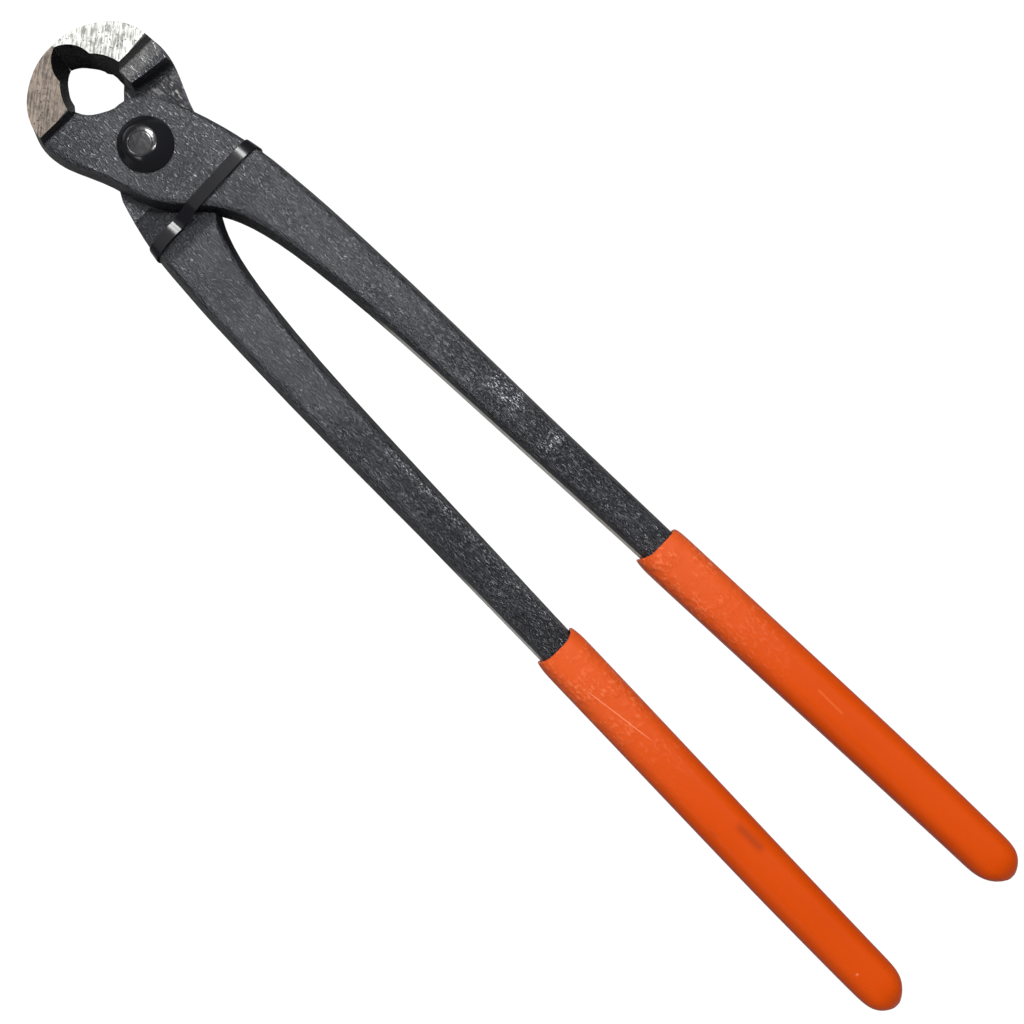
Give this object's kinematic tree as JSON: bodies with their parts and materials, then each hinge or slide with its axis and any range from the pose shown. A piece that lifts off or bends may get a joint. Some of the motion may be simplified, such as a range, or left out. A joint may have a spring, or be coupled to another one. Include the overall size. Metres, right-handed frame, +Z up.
{
  "type": "rebar tying pliers",
  "caption": "End-nipping pliers for twisting and cutting tying wire: two forged arms lapped on a rivet, sleeve grips, and a nylon tie that holds the jaws shut.",
  "frame": {"origin": "on the surface the pliers lie on, below the middle of their length and width, with the jaws closed", "axes": "+X along the tool from the jaws to the handles, +Y across it towards the front arm's handle, +Z up along the rivet"},
  "size_m": [0.2999, 0.0518, 0.0196],
  "materials": {
    "forged_enamel": "semi-gloss black enamel over rough forged steel, jaw faces ground bare",
    "rivet_enamel": "gloss black enamel",
    "grip_vinyl": "satin soft vinyl",
    "tie_nylon": "glossy nylon"
  },
  "bodies": {
    "rear_half": {"rear_arm": "forged_enamel", "pivot_rivet": "rivet_enamel", "rear_grip": "grip_vinyl", "nylon_tie": "tie_nylon"},
    "front_half": {"front_arm": "forged_enamel", "front_grip": "grip_vinyl"}
  },
  "joints": [
    {"name": "pivot", "type": "hinge", "parent": "rear_half", "child": "front_half", "pos_m": [-0.11885, 0, 0.0098], "axis": [0, 0, 1], "range_deg": [0, 50], "deforming": ["nylon_tie"]}
  ]
}
